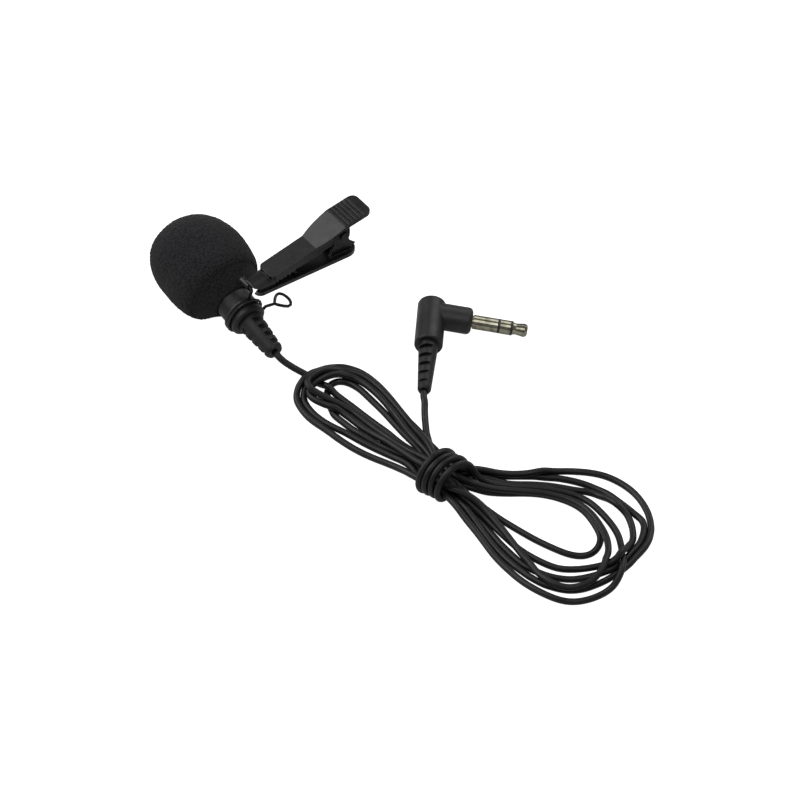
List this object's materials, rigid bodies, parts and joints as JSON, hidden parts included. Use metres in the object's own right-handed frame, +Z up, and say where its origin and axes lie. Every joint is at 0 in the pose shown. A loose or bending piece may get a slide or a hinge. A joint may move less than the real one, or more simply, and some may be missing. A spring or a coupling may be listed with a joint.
{
  "type": "lavalier microphone",
  "caption": "Small clip-on lapel microphone with a foam windscreen, a sprung clip on a wire ring and a thin tied cord ending in an angled mini-jack plug.",
  "frame": {"origin": "on the table, under the middle of the microphone housing, windscreen and clip", "axes": "+X from the neck to the thumb pads of the clip, +Y towards the front of the windscreen, +Z up"},
  "size_m": [0.0688, 0.1583, 0.0281],
  "materials": {
    "foam": "open-cell foam",
    "grille": "matt black",
    "housing": "satin black",
    "felt": "felt",
    "nickel": "nickel plate",
    "circuit_board": "solder mask",
    "rubber": "matt",
    "lead_insulation": "smooth",
    "cord": "satin jacket",
    "relief": "satin",
    "spring_wire": "blackened wire",
    "clip_plastic": "semi-gloss moulded",
    "plug_plastic": "satin moulded",
    "insulator": "black"
  },
  "bodies": {
    "microphone": {"grille_cap": "grille", "front_sleeve": "housing", "dust_felt": "felt", "capsule_can": "nickel", "capsule_board": "circuit_board", "capsule_boot": "rubber", "capsule_leads": "lead_insulation", "neck_shell": "housing", "mic_cord_crimp": "nickel", "mic_cord_core": "cord", "mic_strain_relief": "relief", "plug_body": "plug_plastic", "plug_strain_relief": "relief", "plug_cord_core": "cord", "plug_cord_crimp": "nickel", "plug_leads": "lead_insulation", "tip_tag": "nickel", "ring_tag": "nickel", "sleeve_tag": "nickel", "jack_sleeve": "nickel", "jack_rear_insulator": "insulator", "jack_ring": "nickel", "jack_front_insulator": "insulator", "jack_tip": "nickel", "cord_mic_lead": "cord", "cord_front_loop": "cord", "cord_tie": "cord", "cord_rear_loop": "cord", "cord_plug_lead": "cord"},
    "windscreen": {"foam_windscreen": "foam"},
    "wire_ring": {"wire_ring": "spring_wire"},
    "clip_base": {"clip_base": "clip_plastic", "hinge_pin": "spring_wire", "torsion_spring": "spring_wire"},
    "clip_lever": {"clip_lever": "clip_plastic"}
  },
  "joints": [
    {"name": "windscreen_pull", "type": "slide", "parent": "microphone", "child": "windscreen", "axis": [0, 0.9755, 0.2198], "range_m": [0, 0.026]},
    {"name": "ring_turn", "type": "hinge", "parent": "microphone", "child": "wire_ring", "pos_m": [-0.0113, -0.00801, 0.00813], "axis": [0, -0.9755, -0.2198], "continuous": true},
    {"name": "clip_swing", "type": "hinge", "parent": "wire_ring", "child": "clip_base", "pos_m": [-0.0104, -0.00941, 0.01713], "axis": [0, -1, 0], "range_deg": [-30, 100]},
    {"name": "lever_open", "type": "hinge", "parent": "clip_base", "child": "clip_lever", "pos_m": [0.0151, -0.00941, 0.02283], "axis": [0, 1, 0], "range_deg": [0, 28], "stiffness_Nm_per_rad": 0.06, "springref_deg": -34.38, "deforming": ["torsion_spring"]}
  ]
}
